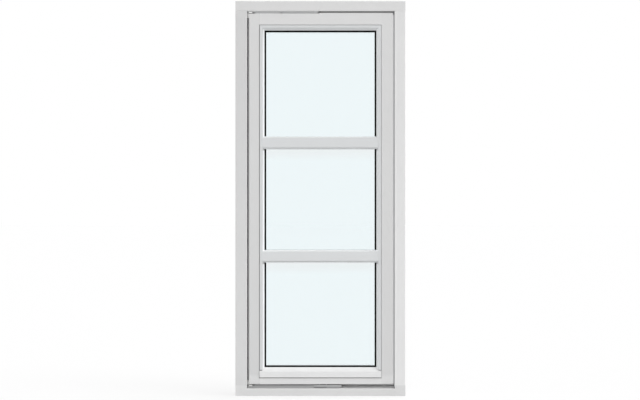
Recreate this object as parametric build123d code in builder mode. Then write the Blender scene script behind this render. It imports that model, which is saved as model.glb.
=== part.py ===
# Pivot window: a white timber window whose sash swings and reverses on arms, modelled closed.
# The outside faces -Y, the room is on +Y and +X is to the right seen from outside.
# The origin is at the middle of the sill's underside. Millimetres.
import os

from build123d import *

os.makedirs("parts", exist_ok=True)

# Frame
frame_width = 680.0
frame_height = 1580.0
frame_depth = 115.0
jamb_face = 44.0  # front width of the jambs, the mean of the two
sash_shift = 2.4  # the sash and its opening lie this far off the middle, towards the lock
head_face = 40.0  # front height of the head
sill_nose = 28.5  # front height of the sill
sill_horn = 42.0  # height of the sill's uncut ends, which carry the jambs
sill_seat_front = 38.0  # depth of the sill's weathered slope
stop_cover = 14.0  # how far the stop laps behind the sash
stop_bevel = 4.0  # round the room side of the stop
frame_arris = 2.5
fixing_radius = 7.0
fixing_spacing = 400.0
fixing_setback = 62.0  # from the outside face to the fixing holes

# Sash
side_gap = 8.0
head_gap = 7.5
sill_gap = 18.0
sash_recess = 3.0  # the sash's face behind the frame's
sash_depth = 66.0
stile_face = 44.0
top_rail_face = 48.0
bottom_rail_face = 25.5
sash_arris = 2.5
room_bevel = 8.0  # round the room side of the glass
weather_seal = 6.0  # thickness of the seal between sash and stop
seal_width = 6.0

# Glazing
bead_width = 19.5
bead_flat = 10.0
bead_bevel = 10.0  # depth of the bevel
bead_recess = 1.0  # the bead's face behind the sash's
bead_foot_gap = 2.0  # between the side beads' feet and the bottom bead
joint_width = 1.5  # half the groove between bead and sash
joint_depth = 4.0
top_bead_width = 21.0
bottom_bead_height = 41.0
bottom_bead_front = 23.0  # height of its upright face
bottom_bead_proud = 3.0  # how far it stands out of the sash's face
bottom_bead_lip = 2.0
glass_setback = 20.0  # the glass behind the sash's face
pane = 4.0
cavity = 16.0
gasket = 3.0
gasket_sight = 7.0  # width of gasket that shows beside the bead
gasket_cover = 6.0  # width of gasket under the bead
inner_gasket_sight = 3.0
edge_clearance = 6.0  # round the glass, filled by the setting blocks below
spacer_width = 12.0
block_length = 80.0

# Glazing bars
bar_spacing = 453.5
bar_height = 56.5
bar_bevel = 10.5
bar_edge = 9.0  # height of the bar's upright edge above the glass
bar_recess = 1.0  # the bar's face behind the bead's
inner_bar_depth = 14.0
cavity_bar_height = 40.0

# Swing gear, alike at head and sill
gear_gap = 10.5  # from the seat on the frame to the sash
gear_setback = 21.5  # from the frame's face to the line of the pivots
track_width = 24.0
track_depth = 4.5
track_floor = 1.2
track_wall = 1.5
track_lip = 1.0
track_slot = 10.0
track_start = 2.0  # from the jamb to the end of the track
arm_width = 20.0
arm_depth = 2.5
pivot_radius = 4.0
shoe_pin_radius = 3.0
running_clearance = 0.1
layer_clearance = 0.5
shoe_length = 14.0
shoe_corner = 1.5
shoe_inset = 6.5  # from the sash's edge to the shoe's pin
tongue_length = 24.0  # the narrow end of the sash plate, which carries the shoe
tongue_width = 12.0
corner_leg = 16.0  # the plate's leg round the sash's corner
corner_leg_depth = 3.0
arm_anchor = -17.0  # place of the arm's fixed pivot along X
anchor_start = 9.0
head_anchor_reach = 10.0  # how far each anchor runs past the pivot
sill_anchor_reach = 95.0
sill_block_start = 14.0  # two blocks on the sill's anchor, measured from the pivot
sill_block_seam = 41.0
sill_block_split = 4.0
sill_block_height = 8.0

# Lock and handle
lock_setback = 18.0  # from the frame's face to the middle of the lock
lock_strip = 4.0
lock_width = 16.0
lock_end = 6.0  # from the strip's ends to the sash's
cam_radius = 5.0
cam_height = 3.0
cam_spacing = 520.0
keep_width = 21.0
keep_depth = 3.0
keep_end = 1.0  # from the keep's ends to sill and head
keep_slot = 35.0  # length of the slots for the cams
handle_plate_width = 30.0
handle_plate_height = 74.0
handle_plate_depth = 9.0
handle_collar_radius = 12.0
handle_collar = 2.5
handle_neck_radius = 9.0
handle_neck = 20.0  # from the plate to the lever
handle_length = 125.0
handle_width = 20.0
handle_tip_width = 15.0
handle_depth = 12.0
handle_place = 26.0  # from the glass edge of the stile to the handle's axis

# Places worked out from the sizes above
front = -frame_depth / 2
back = frame_depth / 2
half = frame_width / 2
opening = half - jamb_face
soffit = frame_height - head_face
sash_half = opening - side_gap
sash_bottom = sill_nose + sill_gap
sash_top = soffit - head_gap
sash_front = front + sash_recess
sash_back = sash_front + sash_depth
stop = sash_back + weather_seal
stop_half = sash_half - stop_cover
sill_stop = sash_bottom + stop_cover
head_stop = sash_top - stop_cover
sill_seat = sash_bottom - gear_gap
gear_rebate = gear_gap - head_gap

rebate_half = sash_half - stile_face
rebate_top = sash_top - top_rail_face
rebate_bottom = sash_bottom + bottom_rail_face
sight_half = rebate_half - bead_width
sight_top = rebate_top - top_bead_width
sight_bottom = rebate_bottom + bottom_bead_height
bead_front = sash_front + bead_recess
glass_front = sash_front + glass_setback
bead_back = glass_front - gasket
cavity_front = glass_front + pane
cavity_back = cavity_front + cavity
glass_back = cavity_back + pane
glazing_seat = glass_back + gasket
glass_half = rebate_half - edge_clearance
glass_top = rebate_top - edge_clearance
glass_bottom = sight_bottom - (glass_half - sight_half)
block_seat = glass_bottom - edge_clearance
bar_front = bead_front + bar_recess
middle = (sash_bottom + sash_top) / 2


def side_place(side, half_width):  # place along X of a side of the sash or of its opening
    return side * half_width + sash_shift


def write(block, name):
    block.part.label = name
    export_step(block.part, f"parts/{name}.step")


def distance_from_middle(edge):
    return abs(edge.center().X)


def ring(half_width, low, high, center=0.0):
    with Locations((center, (low + high) / 2)):
        Rectangle(2 * half_width, high - low)


def bevel_round(half_width, low, high, face, inside, width, center=0.0):
    # a bevel round a rectangular opening, from a face inwards, mitred at the corners
    with BuildSketch(Plane.XZ.offset(-face)) as wide:
        ring(half_width + width, low - width, high + width, center)
    with BuildSketch(Plane.XZ.offset(-inside)) as narrow:
        ring(half_width, low, high, center)
    loft([wide.sketch, narrow.sketch], ruled=True, mode=Mode.SUBTRACT)


def bevel_stop():
    bevel_round(stop_half, sill_stop, head_stop, back, back - stop_bevel, stop_bevel, sash_shift)


def bevel_sash():  # the groove at the beads outside, and the bevel round the glass inside
    bevel_round(rebate_half, rebate_bottom, rebate_top, sash_front, sash_front + joint_depth, joint_width)
    bevel_round(sight_half, sight_bottom, sight_top, sash_back, sash_back - room_bevel, room_bevel)


# Frame: a rebated section all round, with a sloping sill that runs under the jambs
with BuildPart() as frame_head:
    with BuildSketch(Plane.YZ):
        with BuildLine():
            Polyline(
                (front, soffit), (stop, soffit), (stop, head_stop), (back, head_stop),
                (back, frame_height), (front, frame_height), close=True,
            )
        make_face()
    extrude(amount=half, both=True)
    fillet(frame_head.edges().filter_by(Axis.X).sort_by(Axis.Y)[:2], frame_arris)
    bevel_stop()
write(frame_head, "frame_head")

with BuildPart() as frame_sill:
    with BuildSketch(Plane.YZ):
        with BuildLine():
            Polyline(
                (front, 0), (front, sill_nose), (front + sill_seat_front, sill_seat),
                (stop, sill_seat), (stop, sill_stop), (back, sill_stop), (back, 0), close=True,
            )
        make_face()
    extrude(amount=half, both=True)
    nose = frame_sill.edges().filter_by(Axis.X).group_by(Axis.Y)[0]
    fillet(nose.sort_by(Axis.Z)[-1], frame_arris)
    bevel_stop()
    with BuildSketch(Plane.XZ.offset(-front)):
        for side in (-1, 1):
            horn_end = side_place(side, opening)
            with Locations(((side * half + horn_end) / 2, sill_horn / 2)):
                Rectangle(half - side * horn_end, sill_horn)
    extrude(amount=front - stop)
write(frame_sill, "frame_sill")


def make_jamb(side, name):
    inner_face = side_place(side, opening)
    stop_edge = side_place(side, stop_half)
    with BuildPart() as jamb:
        with BuildSketch(Plane.XY.offset(sill_horn)):
            with BuildLine():
                Polyline(
                    (side * half, front), (inner_face, front), (inner_face, stop),
                    (stop_edge, stop), (stop_edge, back), (side * half, back), close=True,
                )
            make_face()
        extrude(amount=soffit - sill_horn)
        fillet(jamb.edges().filter_by(Axis.Z).sort_by(Axis.Y)[:2], frame_arris)
        # the ends are scribed round the stops of sill and head
        with BuildSketch(Plane.YZ):
            for low, high in ((sill_horn, sill_stop), (head_stop, soffit)):
                with Locations(((stop + back) / 2, (low + high) / 2)):
                    Rectangle(back - stop, high - low)
        extrude(amount=side * half, mode=Mode.SUBTRACT)
        bevel_stop()
        with Locations(Plane((side * half, front + fixing_setback, middle), x_dir=(0, 1, 0), z_dir=(side, 0, 0))):
            with GridLocations(0, fixing_spacing, 1, 4):
                Hole(fixing_radius, depth=half - side * inner_face)
    write(jamb, name)


make_jamb(-1, "frame_left_jamb")
make_jamb(1, "frame_right_jamb")

seal_half = sash_half - (stop_cover - seal_width) / 2
seal_low = sash_bottom + (stop_cover - seal_width) / 2
seal_high = sash_top - (stop_cover - seal_width) / 2
with BuildPart() as weather_strip:
    with BuildSketch(Plane.XZ.offset(-stop)):
        ring(seal_half, seal_low, seal_high, sash_shift)
        offset(amount=-seal_width, kind=Kind.INTERSECTION, mode=Mode.SUBTRACT)
    extrude(amount=weather_seal)
    chamfer(weather_strip.faces().sort_by(Axis.Y)[0].edges(), seal_width / 4)
write(weather_strip, "weather_strip")


# Sash: stiles run through and the rails fit between them
def make_stile(side, top, name):
    outer_face = side_place(side, sash_half)
    with BuildPart() as stile:
        with BuildSketch(Plane.XY.offset(sash_bottom)):
            with BuildLine():
                Polyline(
                    (outer_face, sash_front), (side * rebate_half, sash_front),
                    (side * rebate_half, glazing_seat), (side * sight_half, glazing_seat),
                    (side * sight_half, sash_back), (outer_face, sash_back), close=True,
                )
            make_face()
        extrude(amount=top - sash_bottom)
        face_edges = stile.faces().sort_by(Axis.Y)[0].edges().sort_by(distance_from_middle)
        fillet(face_edges[1:], sash_arris)
        bevel_sash()
    write(stile, name)


make_stile(-1, sash_top - gear_rebate, "sash_left_stile")
make_stile(1, sash_top, "sash_right_stile")

gear_end = arm_anchor + head_anchor_reach
with BuildPart() as sash_top_rail:
    with BuildSketch(Plane.YZ):
        with BuildLine():
            Polyline(
                (sash_front, rebate_top), (glazing_seat, rebate_top), (glazing_seat, sight_top),
                (sash_back, sight_top), (sash_back, sash_top), (sash_front, sash_top), close=True,
            )
        make_face()
    extrude(amount=rebate_half, both=True)
    # the ends lap inside the stiles' glazing rebate
    with BuildSketch(Plane.XY.offset(sight_top)):
        for side in (-1, 1):
            with Locations((side * (sight_half + rebate_half) / 2, (glazing_seat + sash_back) / 2)):
                Rectangle(bead_width, sash_back - glazing_seat)
    extrude(amount=sash_top - sight_top, mode=Mode.SUBTRACT)
    # the left half is lowered for the swing gear
    with BuildSketch(Plane.XZ):
        with Locations(((gear_end - rebate_half) / 2, sash_top - gear_rebate / 2)):
            Rectangle(rebate_half + gear_end, gear_rebate)
    extrude(amount=frame_depth, both=True, mode=Mode.SUBTRACT)
    face_edges = sash_top_rail.edges().filter_by(Axis.X).group_by(Axis.Y)[0].sort_by(Axis.Z)
    fillet(face_edges[1:], sash_arris)
    bevel_sash()
write(sash_top_rail, "sash_top_rail")

with BuildPart() as sash_bottom_rail:
    with BuildSketch(Plane.YZ):
        with BuildLine():
            Polyline(
                (sash_front, sash_bottom), (sash_front, rebate_bottom), (bead_back, rebate_bottom),
                (bead_back, block_seat), (glazing_seat, block_seat), (glazing_seat, sight_bottom),
                (sash_back, sight_bottom), (sash_back, sash_bottom), close=True,
            )
        make_face()
    extrude(amount=rebate_half, both=True)
    fillet(sash_bottom_rail.edges().filter_by(Axis.X).group_by(Axis.Y)[0].sort_by(Axis.Z)[0], sash_arris)
    with BuildSketch(Plane.XY.offset(sash_bottom)):
        for side in (-1, 1):
            with Locations((side * (sight_half + rebate_half) / 2, (glazing_seat + sash_back) / 2)):
                Rectangle(bead_width, sash_back - glazing_seat)
    extrude(amount=sight_bottom - sash_bottom, mode=Mode.SUBTRACT)
    bevel_sash()
write(sash_bottom_rail, "sash_bottom_rail")

# Glazing beads: three bevelled ones, and a sloping one at the bottom that sheds the water
slope_front = sash_front - bottom_bead_proud
slope_low = rebate_bottom + bottom_bead_front
slope_back = bead_back - bottom_bead_lip
top_bead_flat = bead_flat * top_bead_width / bead_width
with BuildPart() as bead_bottom:
    with BuildSketch(Plane.YZ):
        with BuildLine():
            Polyline(
                (bead_back, rebate_bottom), (sash_front + joint_depth, rebate_bottom),
                (slope_front, rebate_bottom + joint_width), (slope_front, slope_low),
                (slope_back, sight_bottom), (bead_back, sight_bottom), close=True,
            )
        make_face()
    extrude(amount=rebate_half, both=True)
    fillet(bead_bottom.edges().filter_by(Axis.X).sort_by(Axis.Y)[:2].sort_by(Axis.Z)[-1], bottom_bead_proud)
write(bead_bottom, "bead_bottom")


def make_side_bead(side, name):
    with BuildPart() as bead:
        with BuildSketch(Plane.XY.offset(slope_low)):
            with BuildLine():
                Polyline(
                    (side * rebate_half, bead_front + joint_depth),
                    (side * (rebate_half - joint_width), bead_front),
                    (side * (rebate_half - bead_flat), bead_front),
                    (side * sight_half, bead_front + bead_bevel), (side * sight_half, bead_back),
                    (side * rebate_half, bead_back), close=True,
                )
            make_face()
        extrude(amount=rebate_top - slope_low)
        # mitred at the top, and cut at the foot to the slope of the bottom bead
        with BuildSketch(Plane.XZ):
            with BuildLine():
                Polyline(
                    (side * rebate_half, 0), (side * rebate_half, rebate_top),
                    (side * sight_half, sight_top), (side * sight_half, 0), close=True,
                )
            make_face()
        extrude(amount=frame_depth, both=True, mode=Mode.INTERSECT)
        with BuildSketch(Plane.YZ):
            with BuildLine():
                Polyline(
                    (slope_front, slope_low + bead_foot_gap), (slope_back, sight_bottom + bead_foot_gap),
                    (back, sight_bottom + bead_foot_gap), (back, frame_height), (slope_front, frame_height),
                    close=True,
                )
            make_face()
        extrude(amount=half, both=True, mode=Mode.INTERSECT)
    write(bead, name)


make_side_bead(-1, "bead_left")
make_side_bead(1, "bead_right")

with BuildPart() as bead_top:
    with BuildSketch(Plane.YZ):
        with BuildLine():
            Polyline(
                (bead_front + joint_depth, rebate_top), (bead_front, rebate_top - joint_width),
                (bead_front, rebate_top - top_bead_flat), (bead_front + bead_bevel, sight_top),
                (bead_back, sight_top), (bead_back, rebate_top), close=True,
            )
        make_face()
    extrude(amount=rebate_half, both=True)
    with BuildSketch(Plane.XZ):
        with BuildLine():
            Polyline(
                (-rebate_half, rebate_top), (-sight_half, sight_top),
                (sight_half, sight_top), (rebate_half, rebate_top), close=True,
            )
        make_face()
    extrude(amount=frame_depth, both=True, mode=Mode.INTERSECT)
write(bead_top, "bead_top")

# Sealed unit: two panes, the spacer between them, and the gaskets that bed them
for name, place in (("outer_pane", glass_front), ("inner_pane", cavity_back)):
    with BuildPart() as sheet:
        with BuildSketch(Plane.XZ.offset(-place)):
            ring(glass_half, glass_bottom, glass_top)
        extrude(amount=-pane)
    write(sheet, name)

with BuildPart() as spacer:
    with BuildSketch(Plane.XZ.offset(-cavity_front)):
        ring(glass_half, glass_bottom, glass_top)
        offset(amount=-spacer_width, kind=Kind.INTERSECTION, mode=Mode.SUBTRACT)
    extrude(amount=-cavity)
write(spacer, "glass_spacer")

with BuildPart() as outer_gasket:
    with BuildSketch(Plane.XZ.offset(-bead_back)):
        ring(sight_half + gasket_cover, sight_bottom - gasket_cover, sight_top + gasket_cover)
        offset(amount=-gasket_cover - gasket_sight, kind=Kind.INTERSECTION, mode=Mode.SUBTRACT)
    extrude(amount=-gasket)
    lip = outer_gasket.faces().sort_by(Axis.Y)[0].inner_wires()[0].edges()
    chamfer(lip, gasket * 0.6)
write(outer_gasket, "outer_gasket")

with BuildPart() as inner_gasket:
    with BuildSketch(Plane.XZ.offset(-glass_back)):
        ring(sight_half + gasket_cover, sight_bottom - gasket_cover, sight_top + gasket_cover)
        offset(amount=-gasket_cover - inner_gasket_sight, kind=Kind.INTERSECTION, mode=Mode.SUBTRACT)
    extrude(amount=-gasket)
write(inner_gasket, "inner_gasket")

with BuildPart() as setting_blocks:
    with BuildSketch(Plane.XY.offset(block_seat)):
        for side in (-1, 1):
            with Locations((side * glass_half / 2, (glass_front + glass_back) / 2)):
                Rectangle(block_length, glass_back - glass_front)
    extrude(amount=glass_bottom - block_seat)
write(setting_blocks, "setting_blocks")

# Glazing bars: at two heights, one outside, one inside and one in the cavity
gasket_half = sight_half - gasket_sight
inner_gasket_half = sight_half - inner_gasket_sight
bar_end = rebate_half - bead_flat - bar_recess * (bead_width - bead_flat) / bead_bevel
bar_root = glass_front - bar_edge
cavity_half = glass_half - spacer_width
sight_middle = (sight_bottom + sight_top) / 2


def make_bar(place, plan, profile, name):
    with BuildPart() as bar:
        with BuildSketch(Plane.XY.offset(place - bar_height / 2)):
            with BuildLine():
                Polyline(*[(-x, y) for x, y in plan], *[(x, y) for x, y in reversed(plan)], close=True)
            make_face()
        extrude(amount=bar_height)
        with BuildSketch(Plane.YZ):
            with BuildLine():
                Polyline(
                    *[(y, place - z) for y, z in profile],
                    *[(y, place + z) for y, z in reversed(profile)],
                    close=True,
                )
            make_face()
        extrude(amount=half, both=True, mode=Mode.INTERSECT)
    write(bar, name)


outer_bar_plan = (
    (gasket_half, glass_front), (gasket_half, bead_back), (sight_half, bead_back),
    (sight_half, bead_front + bead_bevel), (bar_end, bar_front),
)
outer_bar_profile = (
    (glass_front, bar_height / 2), (bar_root, bar_height / 2), (bar_front, bar_height / 2 - bar_bevel),
)
inner_bar_front = glass_back + inner_bar_depth
inner_bar_plan = (
    (inner_gasket_half, glass_back), (inner_gasket_half, glazing_seat),
    (sight_half, glazing_seat), (sight_half, inner_bar_front),
)
inner_bar_profile = (
    (glass_back, bar_height / 2), (glazing_seat, bar_height / 2),
    (inner_bar_front, bar_height / 2 - bar_bevel),
)
cavity_bar_plan = ((cavity_half, cavity_front), (cavity_half, cavity_back))
cavity_bar_profile = ((cavity_front, cavity_bar_height / 2), (cavity_back, cavity_bar_height / 2))

for height, level in ((sight_middle - bar_spacing / 2, "lower"), (sight_middle + bar_spacing / 2, "upper")):
    make_bar(height, outer_bar_plan, outer_bar_profile, f"outer_bar_{level}")
    make_bar(height, inner_bar_plan, inner_bar_profile, f"inner_bar_{level}")
    make_bar(height, cavity_bar_plan, cavity_bar_profile, f"cavity_bar_{level}")

# Swing gear at head and sill: track and anchor on the frame, plate on the sash, arm and shoe between
gear_line = front + gear_setback
track_front = gear_line - track_width / 2
track_back = gear_line + track_width / 2
track_low = side_place(-1, opening) + track_start
track_end = arm_anchor - anchor_start
lip_start = track_depth - track_lip
arm_place = track_depth + layer_clearance
gear_plate = gear_gap - arm_place - arm_depth - layer_clearance
plate_place = gear_gap - gear_plate
sash_edge = side_place(-1, sash_half)
shoe_place = sash_edge + shoe_inset
shoe_bottom = track_floor + running_clearance
arm_swing = (shoe_place + arm_anchor) / 2
plate_start = sash_edge + tongue_length
plate_end = gear_end - layer_clearance
plate_rise_end = arm_swing - arm_width / 2 - layer_clearance


def slope_height(place):  # height of the sill's weathered slope at a place along Y
    return min(sill_nose + (place - front) * (sill_seat - sill_nose) / sill_seat_front, sill_seat)


def make_gear(seat, toward_sash, foot_front, foot_back, anchor_reach, blocks, name):
    def level(depth):
        return Plane.XY.offset(seat + toward_sash * depth)

    def base_section():  # section of track and anchor, down to what they stand on
        top = seat + toward_sash * track_depth
        Polygon(
            (track_front, foot_front), (track_front, top), (track_back, top), (track_back, foot_back), align=None
        )

    with BuildPart() as track:
        with BuildSketch(Plane.YZ.offset(track_low)):
            base_section()
            with Locations((gear_line, seat + toward_sash * (track_floor + lip_start) / 2)):
                Rectangle(track_width - 2 * track_wall, lip_start - track_floor, mode=Mode.SUBTRACT)
            with Locations((gear_line, seat + toward_sash * (lip_start + track_depth) / 2)):
                Rectangle(track_slot, track_lip, mode=Mode.SUBTRACT)
        extrude(amount=track_end - track_low)
    write(track, f"{name}_track")

    with BuildPart() as anchor:
        with BuildSketch(Plane.YZ.offset(track_end)):
            base_section()
        extrude(amount=arm_anchor + anchor_reach - track_end)
        with BuildSketch(level(track_depth)):
            with Locations((arm_anchor, gear_line)):
                Circle(pivot_radius)
        extrude(amount=toward_sash * (layer_clearance + arm_depth))
        for start, end in blocks:
            with BuildSketch(level(track_depth)):
                with Locations((arm_anchor + (start + end) / 2, gear_line)):
                    Rectangle(end - start, track_width)
            extrude(amount=toward_sash * (sill_block_height - track_depth))
    write(anchor, f"{name}_anchor")

    with BuildPart() as arm:
        with BuildSketch(level(arm_place)):
            with Locations(((arm_anchor + arm_swing) / 2, gear_line)):
                SlotCenterToCenter(arm_anchor - arm_swing, arm_width)
            with Locations((arm_anchor, gear_line), (arm_swing, gear_line)):
                Circle(pivot_radius + running_clearance, mode=Mode.SUBTRACT)
        extrude(amount=toward_sash * arm_depth)
    write(arm, f"{name}_arm")

    with BuildPart() as plate:
        with BuildSketch(level(plate_place)):
            with Locations(((plate_start + plate_end) / 2, gear_line)):
                Rectangle(plate_end - plate_start, arm_width)
            with Locations(((sash_edge + plate_start) / 2, gear_line)):
                Rectangle(plate_start - sash_edge, tongue_width)
        extrude(amount=toward_sash * gear_plate)
        # a leg turned round the sash's corner
        with BuildSketch(level(plate_place)):
            with Locations((sash_edge - corner_leg_depth / 2, gear_line)):
                Rectangle(corner_leg_depth, arm_width)
        extrude(amount=toward_sash * (gear_plate + corner_leg))
        # a raised part beside the arm, level with it
        with BuildSketch(level(arm_place)):
            with Locations(((plate_start + plate_rise_end) / 2, gear_line)):
                Rectangle(plate_rise_end - plate_start, arm_width)
        extrude(amount=toward_sash * (plate_place - arm_place))
        # the pins of arm and shoe
        for place, radius, bottom in ((arm_swing, pivot_radius, arm_place), (shoe_place, shoe_pin_radius, shoe_bottom)):
            with BuildSketch(level(bottom)):
                with Locations((place, gear_line)):
                    Circle(radius)
            extrude(amount=toward_sash * (plate_place - bottom))
    write(plate, f"{name}_plate")

    with BuildPart() as shoe:
        # a foot under the track's lips, a neck in its slot and a body level with the arm
        for bottom, top, width in (
            (shoe_bottom, lip_start - running_clearance, track_width - 2 * (track_wall + running_clearance)),
            (lip_start - running_clearance, arm_place, track_slot - 2 * running_clearance),
            (arm_place, arm_place + arm_depth, arm_width),
        ):
            with BuildSketch(level(bottom)):
                with Locations((shoe_place, gear_line)):
                    RectangleRounded(shoe_length, width, shoe_corner)
            extrude(amount=toward_sash * (top - bottom))
        with BuildSketch(level(0)):
            with Locations((shoe_place, gear_line)):
                Circle(shoe_pin_radius + running_clearance)
        extrude(amount=toward_sash * gear_gap, mode=Mode.SUBTRACT)
    write(shoe, f"{name}_shoe")


sill_blocks = (
    (sill_block_start, sill_block_seam - sill_block_split / 2),
    (sill_block_seam + sill_block_split / 2, sill_anchor_reach),
)
make_gear(soffit, -1, soffit, soffit, head_anchor_reach, (), "head")
make_gear(
    sill_seat, 1, slope_height(track_front), slope_height(track_back), sill_anchor_reach, sill_blocks, "sill"
)

# Lock on the closing edge: a strip with three cams on the sash, and a slotted keep on the jamb
lock_line = front + lock_setback
lock_face = side_place(1, sash_half)
cam_heights = [middle + step * cam_spacing for step in (-1, 0, 1)]
with BuildPart() as lock_rod:
    with BuildSketch(Plane.YZ.offset(lock_face)):
        with Locations((lock_line, middle)):
            Rectangle(lock_width, sash_top - sash_bottom - 2 * lock_end)
    extrude(amount=lock_strip)
    with BuildSketch(Plane.YZ.offset(lock_face + lock_strip)):
        with Locations(*[(lock_line, height) for height in cam_heights]):
            Circle(cam_radius)
    extrude(amount=cam_height)
write(lock_rod, "lock_rod")

keep_low = slope_height(lock_line + keep_width / 2) + keep_end
keep_high = soffit - keep_end
with BuildPart() as lock_keeps:
    with BuildSketch(Plane.YZ.offset(side_place(1, opening) - keep_depth)):
        with Locations((lock_line, (keep_low + keep_high) / 2)):
            Rectangle(keep_width, keep_high - keep_low)
        with Locations(*[(lock_line, height) for height in cam_heights]):
            SlotOverall(keep_slot, 2 * cam_radius + 1, rotation=90, mode=Mode.SUBTRACT)
    extrude(amount=keep_depth)
write(lock_keeps, "lock_keeps")

# Handle on the room side of the closing stile
handle_axis = sight_half + handle_place
plate_face = sash_back + handle_plate_depth
with BuildPart() as handle_plate:
    with BuildSketch(Plane.XZ.offset(-sash_back)):
        with Locations((handle_axis, middle)):
            RectangleRounded(handle_plate_width, handle_plate_height, handle_plate_width / 2 - 1)
    extrude(amount=-handle_plate_depth)
    chamfer(handle_plate.faces().sort_by(Axis.Y)[-1].edges(), handle_plate_depth / 4)
    with BuildSketch(Plane.XZ.offset(-plate_face)):
        with Locations((handle_axis, middle)):
            Circle(handle_collar_radius)
    extrude(amount=-handle_collar)
write(handle_plate, "handle_plate")

with BuildPart() as handle_lever:
    with BuildSketch(Plane.XZ.offset(-plate_face - handle_collar)):
        with Locations((handle_axis, middle)):
            Circle(handle_neck_radius)
    extrude(amount=handle_collar - handle_neck)
    with BuildSketch(Plane.XZ.offset(-plate_face - handle_neck)):
        with BuildLine():
            top_arc = CenterArc((handle_axis, middle), handle_width / 2, 0, 180)
            tip_center = (handle_axis, middle - handle_length)
            tip_arc = CenterArc(tip_center, handle_tip_width / 2, 180, 180)
            Line(top_arc @ 1, tip_arc @ 0)
            Line(tip_arc @ 1, top_arc @ 0)
        make_face()
    extrude(amount=-handle_depth)
    fillet(handle_lever.faces().sort_by(Axis.Y)[-1].edges(), handle_depth / 3)
write(handle_lever, "handle_lever")
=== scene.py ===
import math

import bpy
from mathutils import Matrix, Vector


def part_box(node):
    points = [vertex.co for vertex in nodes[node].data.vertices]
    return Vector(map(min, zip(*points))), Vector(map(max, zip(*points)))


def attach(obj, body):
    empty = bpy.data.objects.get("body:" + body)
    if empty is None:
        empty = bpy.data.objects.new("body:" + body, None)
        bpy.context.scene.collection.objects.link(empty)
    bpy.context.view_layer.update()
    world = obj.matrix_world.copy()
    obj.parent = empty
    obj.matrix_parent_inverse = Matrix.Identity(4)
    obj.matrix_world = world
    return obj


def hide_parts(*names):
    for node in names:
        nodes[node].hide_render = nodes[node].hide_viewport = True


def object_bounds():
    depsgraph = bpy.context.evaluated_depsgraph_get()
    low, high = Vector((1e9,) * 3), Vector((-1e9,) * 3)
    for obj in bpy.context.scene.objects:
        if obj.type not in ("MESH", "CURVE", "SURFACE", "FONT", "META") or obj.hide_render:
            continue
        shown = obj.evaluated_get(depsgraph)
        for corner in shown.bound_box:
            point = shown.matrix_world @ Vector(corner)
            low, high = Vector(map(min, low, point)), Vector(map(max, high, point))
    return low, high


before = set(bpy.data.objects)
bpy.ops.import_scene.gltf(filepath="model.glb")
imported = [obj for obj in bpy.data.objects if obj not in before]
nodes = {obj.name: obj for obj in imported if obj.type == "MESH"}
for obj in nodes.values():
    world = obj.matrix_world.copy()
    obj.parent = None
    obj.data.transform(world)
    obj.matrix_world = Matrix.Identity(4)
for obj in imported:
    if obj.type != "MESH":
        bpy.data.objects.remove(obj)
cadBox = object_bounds()
print("frame loaded:", len(nodes), "nodes")

scene = bpy.context.scene
scene.view_settings.view_transform = "Standard"


# Camera: square on, from far enough away to look almost flat, as the photograph does
camera = {
    "distance": 6.0,
    "imageWidth": 640,
    "imageHeight": 400,
    "metresPerPixel": 0.004,
    "middleColumn": 320.41,  # where the window's middle lies in the photograph
    "middleRow": 198.42,
    "sensorWidth": 36,
    "clipEnd": 100,
}


def makeCamera():
    low, high = cadBox
    middle = (low + high) / 2
    scale = camera["metresPerPixel"]
    offsetX = (camera["middleColumn"] - camera["imageWidth"] / 2) * scale
    offsetZ = (camera["middleRow"] - camera["imageHeight"] / 2) * scale
    place = (middle.x - offsetX, low.y - camera["distance"], middle.z + offsetZ)
    bpy.ops.object.camera_add(location=place, rotation=(math.radians(90), 0, 0))
    made = bpy.context.object
    made.name = "camera"
    made.data.sensor_width = camera["sensorWidth"]
    made.data.lens = camera["sensorWidth"] * camera["distance"] / (camera["imageWidth"] * scale)
    made.data.clip_end = camera["clipEnd"]
    scene.camera = made


makeCamera()
print("camera placed")


# Helpers that add nodes to a tree, where a value is a socket or a number
def feed(tree, value, socket):
    if isinstance(value, (int, float)):
        socket.default_value = value
    else:
        tree.links.new(value, socket)


def addMath(tree, operation, first, second):
    node = tree.nodes.new("ShaderNodeMath")
    node.operation = operation
    feed(tree, first, node.inputs[0])
    feed(tree, second, node.inputs[1])
    return node.outputs["Value"]


def addProduct(tree, product, *others):
    for other in others:
        product = addMath(tree, "MULTIPLY", product, other)
    return product


def addVector(tree, operation, first, second=None):  # one or two sockets
    node = tree.nodes.new("ShaderNodeVectorMath")
    node.operation = operation
    tree.links.new(first, node.inputs[0])
    if second:
        tree.links.new(second, node.inputs["Scale" if operation == "SCALE" else 1])
    return node.outputs["Vector"]


def addHere(tree):  # the place on the piece
    return tree.nodes.new("ShaderNodeTexCoord").outputs["Object"]


def addApart(tree, vector):
    apart = tree.nodes.new("ShaderNodeSeparateXYZ")
    tree.links.new(vector, apart.inputs["Vector"])
    return apart.outputs


def addMost(tree, vector):  # largest of the three
    apart = addApart(tree, vector)
    return addMath(tree, "MAXIMUM", addMath(tree, "MAXIMUM", apart["X"], apart["Y"]), apart["Z"])


def addMap(tree, value, fromLow, fromHigh, toLow, toHigh):
    spread = tree.nodes.new("ShaderNodeMapRange")
    limits = {"From Min": fromLow, "From Max": fromHigh, "To Min": toLow, "To Max": toHigh}
    for label, level in limits.items():
        feed(tree, level, spread.inputs[label])
    tree.links.new(value, spread.inputs["Value"])
    return spread.outputs["Result"]


def addNoise(tree, vector, scale, detail):
    noise = tree.nodes.new("ShaderNodeTexNoise")
    noise.inputs["Detail"].default_value = detail
    feed(tree, scale, noise.inputs["Scale"])
    tree.links.new(vector, noise.inputs["Vector"])
    return noise.outputs["Fac"]


noiseSpan = (0.3, 0.7)  # where nearly all of a noise lies


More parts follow.
